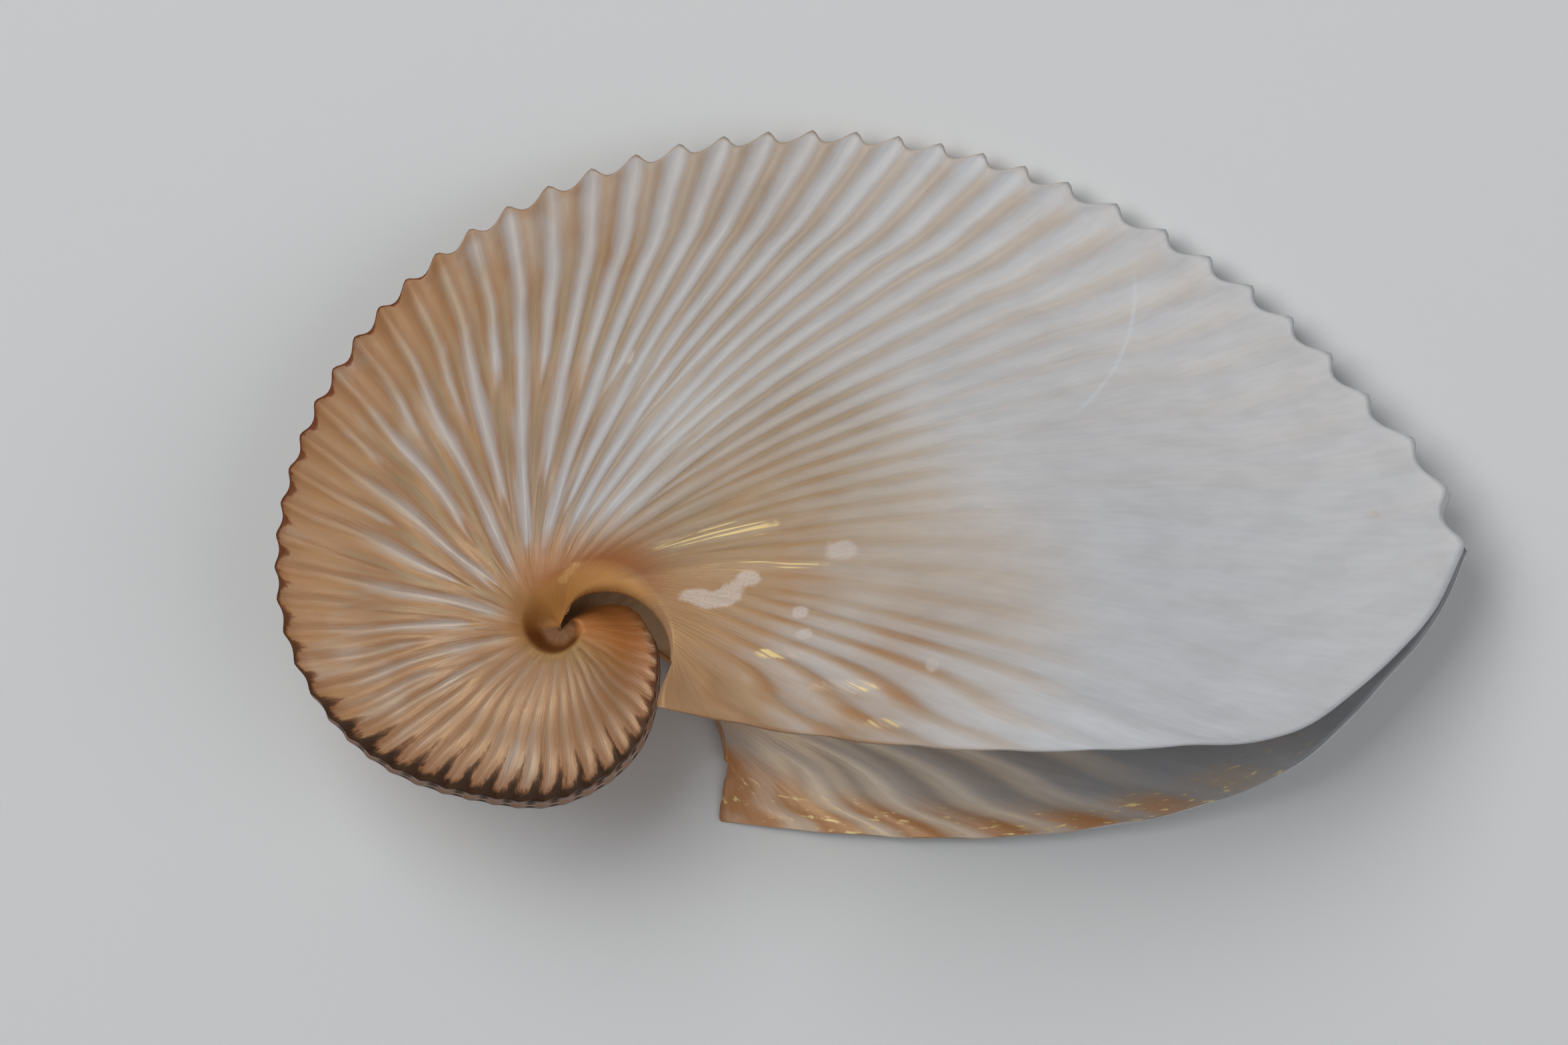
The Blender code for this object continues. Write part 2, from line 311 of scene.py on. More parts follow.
def fan_place(rib, row):
    """Turn angle, radius and half width of a place on the smooth near flank."""
    across = np.clip(row, 0, 1)
    inward = np.clip(-row, 0, 1)
    end_turn, end_radius, end_width = outer_edge(rib)
    lead = smooth(RIB_LEAD, rib)
    root_turn = end_turn - lead
    root_radius = smooth(SHOULDER_RADIUS, root_turn)
    radius = root_radius + (end_radius - root_radius) * across
    climb = np.log(radius / root_radius) / np.log(end_radius / root_radius)
    turn = end_turn - lead * np.clip(1 - climb, 0, 1) ** smooth(RIB_BEND, rib)

    # From the keel inwards a rib drifts ahead, and it comes back over a short elbow.
    inset = (end_radius - radius) / smooth(ELBOW_DISTANCE, rib)
    elbow = np.minimum(inset, 1) * np.exp(-((np.maximum(inset - 1, 0) / ELBOW_FALL) ** 2))
    turn = turn + smooth(ELBOW_TURN, rib) * elbow
    half_width = flank_half_width(turn, radius)
    half_width += (end_width - flank_half_width(end_turn, end_radius)) * across**END_POWER

    # Inside the shoulder the sheet rolls over a quarter ellipse to its free margin, and in
    # the first whorls it sinks to the bottom of the umbilical pit.
    margin_radius = smooth(MARGIN_RADIUS, root_turn)
    margin_width = smooth(MARGIN_HALF_WIDTH, root_turn)
    free = smooth(FREE_MARGIN, root_turn)
    quarter = inward * math.pi / 2
    roll = free * np.sin(quarter) + (1 - free) * inward
    sink = ease(inward, 0, zone(PIT_WALL_SHARE, root_turn))
    drop = free * (1 - np.cos(quarter)) + (1 - free) * sink
    radius = radius + (margin_radius - root_radius) * roll
    half_width = half_width + (margin_width - half_width) * drop * (inward > 0)

    # The first ribs close the sheet to a rounded nose.
    open_share = np.sqrt(1 - (1 - np.clip(rib / NOSE_RIBS, 0, 1)) ** 2)
    return turn, radius, half_width * open_share


def smooth_flank(rib, row):
    """Points of the near flank without its ribs."""
    turn, radius, half_width = fan_place(rib, row)
    angle = np.radians(turn)
    return np.stack([radius * np.cos(angle), -radius * np.sin(angle), half_width], -1)


def rib_spacing(rib, row):
    """Distance between two ribs."""
    step = 0.5
    ahead = smooth_flank(np.minimum(rib + step, LAST_RIB), row)
    behind = smooth_flank(np.maximum(rib - step, 0), row)
    return np.linalg.norm(ahead - behind, axis=-1)


def flank_normal(rib, row):
    """Unit normal of the smooth near flank, pointing out of the shell."""
    step = 0.01
    along = smooth_flank(np.minimum(rib + step, LAST_RIB), row)
    along = along - smooth_flank(np.maximum(rib - step, 0), row)
    across = smooth_flank(rib, np.minimum(row + step, 1))
    across = across - smooth_flank(rib, np.maximum(row - step, -1))
    normal = np.cross(across, along)
    return normal / np.maximum(np.linalg.norm(normal, axis=-1, keepdims=True), 1e-9)


def wobble(rib, row):
    """Slow sideways wandering of the ribs, in ribs, none at the keel and the root."""
    rng = np.random.default_rng(WOBBLE_SEED)
    out = np.zeros_like(rib)
    for _ in range(WOBBLE_WAVES):
        rib_rate, row_rate = rng.uniform(*WOBBLE_RIB_RATE), rng.uniform(*WOBBLE_ROW_RATE)
        start = rng.uniform(0, 2 * math.pi)
        out += np.sin(rib_rate * rib + row_rate * row + start) / WOBBLE_WAVES
    held = ease(1 - row, *WOBBLE_HELD_KEEL) * ease(row, *WOBBLE_HELD_ROOT)
    return out * held * WOBBLE_GAIN * WOBBLE


def rib_octave(rib, row):
    """How many times the ribs have halved in number at a place, growing towards the root."""
    waves = sum(
        np.sin(rib_rate * rib + row_rate * row + start)
        for rib_rate, row_rate, start in RIB_END_WAVES
    )
    spread = RIB_END_SPREAD * waves / len(RIB_END_WAVES)
    spacing = np.maximum(rib_spacing(rib, row), LEAST_SPACING)
    crowding = np.log2(zone(RIB_ROOM, rib) / spacing) + spread
    crowding = np.clip(crowding, 0, MOST_HALVINGS)
    halvings = np.floor(crowding)
    return halvings + ease(crowding - halvings, *RIB_END)


def rib_strength(rib, row):
    """How far the ribs stand out at a place: nothing in the umbilicus, all of it on the flank."""
    turn, radius, _ = fan_place(rib, row)
    return ease(radius / zone(RIB_START, turn), *RIB_START_EDGE)


def rib_wave(rib, row):
    """Where a place lies between two ribs: 1 on a crest, -1 in the middle of a groove."""
    phase = 2 * math.pi * (rib + wobble(rib, row) + zone(LIP_PHASE, rib))
    octave = rib_octave(rib, row)
    halvings = np.floor(octave)
    share = octave - halvings
    return (1 - share) * np.cos(phase / 2**halvings) + share * np.cos(phase / 2 ** (halvings + 1))


def flank(rib, row, shift):
    """Points of the near flank with ribs and keel nodules.

    The shift, in ribs, moves the ribs ahead along the shell.
    """
    wave, octave = rib_wave(rib, row), rib_octave(rib, row)
    near_tip = np.abs(rib - np.rint(rib))
    tip = np.exp(-((near_tip / NODULE_WIDTH) ** NODULE_POWER))
    fade = np.clip(rib / FULL_WALL_RIB, 0, 1) * np.clip(LAST_RIB - rib, 0, 1)
    on_keel = 1 - ease(rib, *NODULES_END)
    crest = np.arccos(np.clip(wave, -1, 1)) / math.pi
    share = zone(CREST_SHARE, rib)
    profile = np.cos(math.pi * crest ** (np.log(0.5) / np.log(share)))
    strength = zone(RELIEF_SHARE, rib) * rib_strength(rib, row)
    nodule_share = zone(NODULE_SHARE, rib)

    rib = np.minimum(rib + shift, LAST_RIB)
    points = smooth_flank(rib, row)
    spacing = rib_spacing(rib, row)
    relief = np.minimum(RIB_RELIEF * spacing * 2**octave, RIB_LIMIT) * profile * fade * strength
    points = points + flank_normal(rib, row) * relief[..., None]

    # The keel's outline runs over the tips of the nodules and dips in between them.
    distance = outer_edge(rib)[1] * (1 - np.clip(row, 0, 1))
    height = np.minimum(nodule_share * spacing, NODULE_LIMIT) * on_keel
    dip = -height * (1 - tip) * np.exp(-((distance / NODULE_REACH) ** 2))
    radius = np.maximum(np.hypot(points[..., 0], points[..., 1]), 1e-6)
    points[..., :2] *= (1 + dip / radius)[..., None]
    flare = NODULE_FLARE * height * tip * np.exp(-((distance / NODULE_FLARE_REACH) ** 2))
    points[..., 2] += flare * np.clip(rib / FULL_WALL_RIB, 0, 1)
    return points


def wall_thickness(rib, row):
    """Share of the full wall at a point of the sheet."""
    grown = np.clip((rib - THIN_WALL_RIB) / (FULL_WALL_RIB - THIN_WALL_RIB), 0, 1)
    at_rim = (row < 0) & (rib < LAST_PIT_RIB)
    at_ear = np.clip(rib - EAR_RIB, 0, 1) * (row < EAR_ROW)
    return THIN_WALL + (1 - THIN_WALL) * grown * np.where(at_rim, 0, 1) * (1 - at_ear)


def rest_matrix():
    """Turns the coil's plane from level to the way the shell lies."""
    heading = math.radians(REST_HEADING)
    axis = (-math.sin(heading), math.cos(heading), 0)
    return Matrix.Rotation(-math.radians(REST_TILT), 4, axis)


def sheet_rows():
    """Rows from the near margin over the keel to the far margin, as (row, far) arrays."""
    margin = np.linspace(-1, 0, MARGIN_ROWS + 1)[:-1]
    flank_part = 1 - (1 - np.linspace(0, 1, FLANK_ROWS + 1)) ** ROW_CROWDING
    side = np.r_[margin, flank_part]
    keel = np.linspace(0, 1, KEEL_ROWS + 2)[1:-1]
    row = np.r_[side, np.ones(KEEL_ROWS), side[::-1]]
    far = np.r_[np.zeros(len(side)), keel, np.ones(len(side))]
    return row, far


def sheet_points(rib, row, far):
    """Points of the whole sheet, with far from 0 on the near flank to 1 on the far flank."""
    near_points = flank(rib, row, np.zeros_like(rib))
    far_points = flank(rib, row, zone(FAR_SHIFT, rib))
    far_points[..., 2] *= -1
    share = far[..., None]
    points = near_points * (1 - share) + far_points * share

    # Between its two rows of nodules the keel is hollowed, and the far row stands out more.
    turn, radius, _ = fan_place(rib, row)
    push = zone(FAR_PUSH, turn) * far * ease(row, *FAR_PUSH_ROWS)
    push = push - zone(KEEL_GROOVE, turn) * np.sin(math.pi * far) * (rib < KEEL_RIBS)
    points[..., :2] *= (1 + push / np.maximum(radius, LEAST_RADIUS))[..., None]
    return points


# Zones of colour and finish: values against turn angle, rib number or millimetres. Warmth is
# how tan the ground between the crests is, ribbing how clearly the crests stand out of it.
WARM_TURN = (
    (-47, 1.0), (225, 1.0), (250, 0.92), (275, 0.70), (300, 0.44), (320, 0.22), (335, 0.06),
    (352, 0.0), (408, 0.0),
)
WARM_CORE = (28.0, 66.0)
WARM_CORE_TURN = (285, 330)
WARM_LIP_RIB = ((65, 0.0), (68, 0.4), (71, 0.75), (77, 0.85))
WARM_LIP_REACH = (48.0, 80.0)
INNER_LIP_REACH = (75.0, 108.0)
INNER_LIP_GAP = (3, 12)
OLIVE_TURN = (
    (-47, 0.0), (285, 0.0), (315, 1.0), (342, 1.0), (358, 0.35), (376, 0.2), (408, 0.3),
)
RIBBING_TURN = (
    (-47, 0.3), (60, 0.35), (120, 0.35), (155, 0.5), (180, 0.75), (215, 0.8), (240, 0.85),
    (280, 0.95), (320, 0.95), (338, 0.55), (350, 0.25), (362, 0.25), (371, 0.7), (380, 0.8),
    (396, 0.5), (408, 0.1),
)
RIBBING_GAP = (
    (-47, 3.0), (90, 6.0), (150, 13.0), (200, 18.0), (235, 12.0), (250, 4.0), (265, 0.5),
    (310, 0.5), (325, 5.0), (335, 10.0), (350, 16.0), (368, 8.0), (376, 1.0), (408, 1.0),
)
RIBBING_GAP_EDGE = (0.15, 1.0)
RIBBING_CORE_LOSS = 0.6
STAIN_DEPTH = (
    (-47, 1.0), (-10, 1.5), (20, 1.8), (40, 2.6), (60, 5.0), (95, 8.2), (125, 9.0), (145, 8.0),
    (155, 5.8), (165, 3.4), (190, 2.2), (215, 1.9), (235, 1.3), (250, 0.3), (256, 0.0),
    (408, 0.0),
)
STAIN_DARK = (
    (-47, 0.0), (30, 0.3), (60, 1.0), (150, 1.0), (170, 0.75), (200, 0.35), (240, 0.0),
    (408, 0.0),
)
AMBER_REACH = (
    (-47, 14.0), (20, 14.0), (50, 10.0), (80, 7.0), (150, 7.5), (200, 9.0), (260, 11.5),
    (300, 14.5), (330, 17.0), (345, 14.5), (360, 14.5), (376, 17.0), (390, 19.0), (408, 19.0),
)
AMBER_EDGE = (0.6, 1.1)
GLOSS_REACH = (10.0, 42.0)

# Painted shade along the shoulder, a dark line in its groove: its offset and half width, and the
# turn where it comes and goes. The ring is the rolled margin inside it, painted paler in its gold
# as light that it catches and to lift the shade on the pit's wall; deep is where grooves turn
# olive.
SHOULDER_OFFSET = 0.7
SHOULDER_HALF_WIDTH = 1.7
SHOULDER_COMES = (190, 300)
SHOULDER_GOES = (356, 370)
RING_ROLL = (0.02, 0.3)
RING_COMES = (195, 250)
RING_GOES = (360, 374)
DEEP_GAP = (4, 18)
DEEP_COMES = (165, 200)
DEEP_GOES = (262, 300)

# How far apart the two flanks are in the third direction of the noise, in which the near
# flank is at 0, so that the marks below show on that flank alone.
FLANK_STEP = 40

# Marks in the plane of the coil, in millimetres: middle and half lengths of ovals; and the
# middle and radius of a circle with the range of y of the part that shows.
WORN_PATCHES = (
    (21.2, -1.5, 2.2, 1.3), (23.9, -2.5, 2.8, 1.6), (26.4, -1.2, 1.8, 1.8), (28.6, 1.0, 1.9, 1.4),
    (41.0, 4.8, 2.4, 1.8), (36.0, -4.5, 1.4, 1.1), (36.7, -8.0, 1.4, 0.9),
    (54.3, -12.7, 1.0, 1.4), (9.2, 36.8, 0.9, 1.4), (111.3, 12.3, 0.7, 0.7),
)
GROWTH_LINE = (52.4, 44.5, 25.3, 25.0, 49.0)
# Glossy streaks, on which thin golden lines are painted as glints.
GLOSS_AND_PAINTED_GLINT_STREAKS = (
    (17.5, 7.4, 4.5, 1.0), (26.0, 8.8, 6.5, 1.6), (30.0, 2.9, 10.0, 0.9),
    (34.0, -11.0, 4.0, 1.0), (43.0, -16.0, 5.0, 1.2), (48.5, -21.5, 3.0, 1.0),
)
# A glossy spot on the ring, with a painted golden highlight.
RING_GLOSS_AND_PAINTED_GLINT = ((1.2, 5.0, 0.9, 0.55), (2.2, 5.7, 0.9, 0.55), (3.2, 6.3, 0.8, 0.5))


def sheet_zones(rib, row, far):
    """What the materials read at each point of the sheet, by attribute name."""
    turn, radius, _ = fan_place(rib, row)
    gap = outer_edge(rib)[1] - radius
    wave = rib_wave(rib, row)
    core = (1 - ease(radius, *WARM_CORE)) * ease(turn, *WARM_CORE_TURN)
    on_lip = zone(WARM_LIP_RIB, rib)
    lip = on_lip * (1 - ease(radius, *WARM_LIP_REACH))
    angle = np.radians(turn)
    x, y = radius * np.cos(angle), -radius * np.sin(angle)
    ribs = rib_strength(rib, row)
    olive = zone(OLIVE_TURN, turn)
    clear_of_keel = ease(gap / zone(RIBBING_GAP, turn), *RIBBING_GAP_EDGE)
    off_shoulder = (radius - zone(SHOULDER_RADIUS, turn) - SHOULDER_OFFSET) / SHOULDER_HALF_WIDTH
    return {
        "wave": wave,
        "crest_share": zone(CREST_SHARE, rib),
        "ribbing": zone(RIBBING_TURN, turn) * clear_of_keel * ribs
        * (1 - RIBBING_CORE_LOSS * core * olive),
        "core": core * olive,
        "warmth": np.maximum(np.maximum(zone(WARM_TURN, turn), core), lip),
        "gap": gap,
        "turn": turn,
        "stain_depth": zone(STAIN_DEPTH, turn),
        "stain_dark": zone(STAIN_DARK, turn),
        "ribs": ribs,
        "amber": 1 - ease(radius / zone(AMBER_REACH, turn), *AMBER_EDGE),
        "shoulder": np.exp(-(off_shoulder**2)) * between(turn, SHOULDER_COMES, SHOULDER_GOES),
        "ring": ease(-row, *RING_ROLL) * between(turn, RING_COMES, RING_GOES),
        "deep": ease(gap, *DEEP_GAP) * between(turn, DEEP_COMES, DEEP_GOES),
        "inner_warmth": on_lip * (1 - ease(radius, *INNER_LIP_REACH))
        * (1 - ease(gap, *INNER_LIP_GAP)),
        "radius": radius,
        "far": far,
        "gloss": 1 - ease(radius, *GLOSS_REACH),
        "roll": np.clip(-row, 0, 1),
        "plane": np.stack([x, y, far * FLANK_STEP], -1),
        "fan": np.stack([rib, gap, far * FLANK_STEP], -1),
    }


def store_zones(bm, zones):
    """Keeps the zones on the vertices as attributes, and the wall also as a vertex group."""
    for attribute, values in zones.items():
        layers = bm.verts.layers.float_vector if values.ndim == 2 else bm.verts.layers.float
        layer = layers.new(attribute)
        for vertex, value in zip(bm.verts, values.tolist()):
            vertex[layer] = value
    group_layer = bm.verts.layers.deform.new()
    wall_layer = bm.verts.layers.float["wall"]
    for vertex in bm.verts:
        vertex[group_layer][0] = vertex[wall_layer]


def sheet_mesh(name):
    """The whole sheet without its wall, in the axes of the coil's plane."""
    row_of_line, far_of_line = sheet_rows()
    rows, columns = len(row_of_line) - 1, LAST_RIB * COLUMNS_PER_RIB
    bm = bmesh.new()
    bmesh.ops.create_grid(bm, x_segments=columns, y_segments=rows, size=0.5)
    grid = np.array([vertex.co[:] for vertex in bm.verts]) + 0.5
    column = np.rint(grid[:, 0] * columns)
    line = np.rint(grid[:, 1] * rows).astype(int)
    rib, row, far = column / COLUMNS_PER_RIB, row_of_line[line], far_of_line[line]
    points = sheet_points(rib, row, far) * MM
    zones = sheet_zones(rib, row, far)
    zones["wall"] = wall_thickness(rib, row)

    # Beyond the tip of the keel the two flanks are apart.
    near_edge = len(row_of_line) // 2 - KEEL_ROWS // 2 - 1
    far_edge = len(row_of_line) // 2 + KEEL_ROWS // 2
    keel_band = [
        face for face in bm.faces
        if min(line[v.index] for v in face.verts) >= near_edge
        and max(line[v.index] for v in face.verts) <= far_edge
        and min(column[v.index] for v in face.verts) >= KEEL_RIBS * COLUMNS_PER_RIB
    ]
    for vertex, point in zip(bm.verts, points):
        vertex.co = point
    store_zones(bm, zones)
    bmesh.ops.delete(bm, geom=keel_band, context="FACES")
    bmesh.ops.remove_doubles(bm, verts=bm.verts, dist=MERGE_DISTANCE * MM)
    bmesh.ops.recalc_face_normals(bm, faces=bm.faces)
    mesh = bpy.data.meshes.new(name)
    bm.to_mesh(mesh)
    bm.free()
    return mesh


def lay_down(mesh):
    """Turns and moves a mesh to where the shell lies; gives back how far it was moved."""
    mesh.transform(rest_matrix() @ Matrix.Scale(CREST_ROOM, 4))
    corners = np.array([vertex.co[:] for vertex in mesh.vertices])
    low, high = corners.min(axis=0), corners.max(axis=0)
    box_low, box_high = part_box("shell")
    middle = (box_low + box_high) / 2
    shift_x, shift_y = (middle[k] - (low[k] + high[k]) / 2 for k in (0, 1))
    offset = Vector((shift_x, shift_y, box_low.z - low[2]))
    mesh.transform(Matrix.Translation(offset))
    return offset


def add_wall(sheet):
    """Thickens the sheet inwards; the inner faces take the material after the outer one."""
    sheet.vertex_groups.new(name="wall")
    wall = sheet.modifiers.new("wall", "SOLIDIFY")
    wall.thickness = WALL * MM
    wall.offset = -1
    wall.vertex_group = "wall"
    wall.use_rim = True
    wall.material_offset = 1


def build_sheet(name, outer, inner):
    """The whole sheet with its wall; the outer and inner faces have their own materials."""
    mesh = sheet_mesh(name)
    offset = lay_down(mesh)
    mesh.shade_smooth()
    mesh.materials.append(outer)
    mesh.materials.append(inner)
    sheet = bpy.data.objects.new(name, mesh)
    bpy.context.scene.collection.objects.link(sheet)
    add_wall(sheet)
    return sheet, offset


def srgb(red, green, blue):
    """Linear colour of a display colour given in steps of 0 to 255."""
    linear = [
        v / 12.92 if v <= 0.04045 else ((v + 0.055) / 1.055) ** 2.4
        for v in (red / 255, green / 255, blue / 255)
    ]
    return (*linear, 1.0)


WHITE = srgb(222, 223, 226)
PEARL = srgb(214, 213, 214)
LILAC = srgb(204, 196, 192)
CREAM = srgb(192, 167, 139)
PEACH = srgb(206, 190, 176)
BROWN_GREY = srgb(188, 166, 146)
TAN = srgb(178, 128, 86)
OLIVE = srgb(170, 128, 74)
INNER_TAN = srgb(200, 140, 88)
INNER_PALE = srgb(240, 222, 200)
OLIVE_BROWN = srgb(162, 138, 106)
AMBER = srgb(194, 122, 56)
RUSSET = srgb(146, 92, 50)
RUST = srgb(124, 54, 22)
UMBER = srgb(126, 76, 38)
DARK = srgb(48, 26, 13)
GROOVE_OLIVE = srgb(156, 132, 98)
# Painted shade in the groove along the shoulder.
SHOULDER_PAINTED_SHADE = srgb(158, 82, 28)
# The rolled ring's gold, painted lighter as light that it catches.
RING_GOLD_AND_PAINTED_LIGHT = srgb(212, 150, 82)
# The early whorl's orange, painted lighter against the shade under the ring.
EARLY_ORANGE_AND_PAINTED_LIGHT = srgb(226, 140, 74)
# Painted golden glints, outside and inside.
PAINTED_GLINT_GOLD = srgb(255, 224, 150)
# Painted highlight on the ring.
RING_PAINTED_HIGHLIGHT = srgb(250, 192, 118)
WORN_PINK = srgb(190, 162, 148)
WORN_WHITE = srgb(218, 204, 196)
# Painted shade on the pit's wall.
PIT_PAINTED_SHADE = srgb(112, 58, 22)
PIT_GREY = srgb(142, 94, 56)
# Painted light in the slit.
SLIT_PAINTED_LIGHT = srgb(230, 188, 142)
SHADE_GREY = srgb(170, 170, 172)

# Numbers of the two materials. Of a pair, the first is where a change starts and the second
# where it ends; two more are the values before and after it. A noise has its stretch per rib,
# per millimetre in from the keel and per flank, and then its detail and roughness.
BANDS = ((2.2, 0.10, 1.0), 3.0, 0.5)
FIBRES = ((9.0, 0.16, 1.0), 4.0, 0.6)
RAGS = ((6.0, 0.5, 1.0), 3.0, 0.6)
# Noise of the painted glint lines.
PAINTED_GLINT_NOISE = ((4.2, 0.05, 1.0), 2.0, 0.5)
BLOTCHES = ((1.5, 0.14, 1.0), 3.0, 0.5)
INNER_FIBRES = ((7.0, 0.14, 1.0), 4.0, 0.6)
SPECKS = ((4.5, 0.8, 1.0), 3.0, 0.6)

# Noise in the plane of the coil: scale, detail and roughness.
CLOUDS = (0.055, 3.0, 0.5)
GRAIN = (0.45, 6.0, 0.75)
WORN_MOTTLE = (2.6, 3.0, 0.6)
INNER_CLOUDS = (0.05, 3.0, 0.5)

# Crests and the ground between them.
GROUND_RAMP = ((0.0, PEARL), (0.25, PEACH), (0.6, BROWN_GREY), (0.95, TAN))
CREST_RAMP = ((0.0, WHITE), (0.4, PEARL), (0.75, LILAC), (1.0, CREAM))
CLOUD_VARIETY = 1.2
BAND_VARIETY = 0.8
YOUNG_EDGE_GAP = (7.0, 1.0)
YOUNG_EDGE_COMES = (290, 330)
YOUNG_EDGE_GOES = (374, 358)
YOUNG_EDGE_SHARE = 0.9
CREST_EDGE = (-0.30, 0.28)
RIBBING_BANDS = (0.1, 0.6, 0.55, 1.0)
CORE_CLOUDS = (0.3, 0.7, 0.4, 0.9)
DEEP_GROOVE = (0.5, 0.95, 0.0, 0.75)
INNER_CREST_GAP = (8.0, 22.0, 0.0, 0.6)
INNER_CREST_TURN = (150, 185)

# Brown stain on the keel, and the worn far row of nodules.
STAIN_BANDS = (0.2, 0.8, 0.65, 1.35)
LEAST_STAIN = 0.01
STAINED_DEPTH = (0.0, 0.4)
STREAK_GROOVE = (0.4, 1.0, 0.16, 1.0)
STREAK_RAGS = (0.25, 0.75, -0.25, 0.35)
LEAST_STREAK = 0.12
STREAK_END = (1.15, 0.15)
EDGE_RAGS = (0.2, 0.8, -0.06, 0.06)
EDGE_DEPTH = (0.26, 0.06)
HAZE_DEPTH = (0.95, 0.1, 0.0, 0.65)
BROWN_STAIN = (0.0, 0.6, 0.0, 0.85)
DARK_STAIN = (0.5, 1.0, 0.0, 0.95)
PALE_FLANK = (0.45, 0.7)
PALE_GAP = (1.6, 0.4)
PALE_TIP = (0.85, 0.45, 0.25, 0.9)

# The umbilicus, its shoulder and its pit, with painted shade on the shoulder and the pit's wall and
# painted light on the ring and the early whorl.
GLAZE_CLOUDS = (0.35, 0.65)
GLAZE_BANDS = (0.2, 0.8, 0.75, 1.0)
SHOULDER_SHARE = 0.9
RING_SHARE = 0.8
EARLY_TURN = (55, 5, 0.0, 0.6)
EARLY_GAP = (0.6, 1.6)
PIT_ROLL = (0.02, 0.2)
PIT_GOES = (205, 150)
PIT_BROWN_TURN = (10, 50)
PIT_BOTTOM_RADIUS = (2.9, 1.9)
PIT_SHARE = 0.9

# Marks. Patches have the raggedness of their edge, how far an oval fades out, in its own half
# lengths, and the edge of the sum; the growth line has its half width and its fading ends.
PATCH_RAGS = 1.1
PATCH_FADE = (1.5, 0.0)
PATCH_EDGE = (0.2, 0.65)
LINE_WIDTH = (0.45, 0.1)
LINE_FADE = 4
WORN_SHARE = (0.3, 0.6, 0.5, 0.78)
GROWTH_LINE_SHARE = 0.7
# Edge of the painted glint lines.
PAINTED_GLINT_EDGE = (0.52, 0.60)
# Fibres that break up the painted highlight on the ring.
RING_GLINT_FIBRES = (0.35, 0.6, 0.1, 0.6)

# Shade and finish of the outside. Bump heights are in millimetres.
FIBRE_SHADE = (0.25, 0.75, 0.945, 1.03)
BLOTCH_SHADE = (0.38, 0.58, 0.955, 1.01)
SPECULAR = 0.4
STAIN_SPECULAR_LOSS = 0.3
ROUGHNESS = 0.46
CORE_SMOOTHNESS = 0.22
FIBRE_ROUGHNESS = 0.08
FIBRE_BUMP = 0.12
COAT_ROUGHNESS = 0.2
COAT_BUMP = 0.45
SOFT_BUMP = 0.5

# The inside.
INNER_RAMP = ((0.0, SHADE_GREY), (0.35, BROWN_GREY), (0.8, INNER_TAN))
INNER_MARGIN_GAP = (14.0, 5.0)
INNER_EAR_TURN = (384, 394)
INNER_CLOUD_VARIETY = 0.4
INNER_MARGIN_SHARE = 0.7
INNER_FLANK_SHARE = 0.3
INNER_GROOVE = (0.3, 0.75)
INNER_GROOVE_SHARE = 0.72
INNER_PALE_REACH = (60.0, 88.0)
SLIT_RIBS = (0.9, 0.1, 0.0, 0.85)
SLIT_TURN = (386, 372)
INNER_SHADE = (0.25, 0.75, 0.92, 1.03)
SPECK_GAP = (11.0, 5.0)
SPECK_TURN = (368, 374)
SPECK_EDGE = (0.58, 0.66)
INNER_ROUGHNESS = (0.3, 0.7, 0.30, 0.42)
INNER_BUMP = 0.1


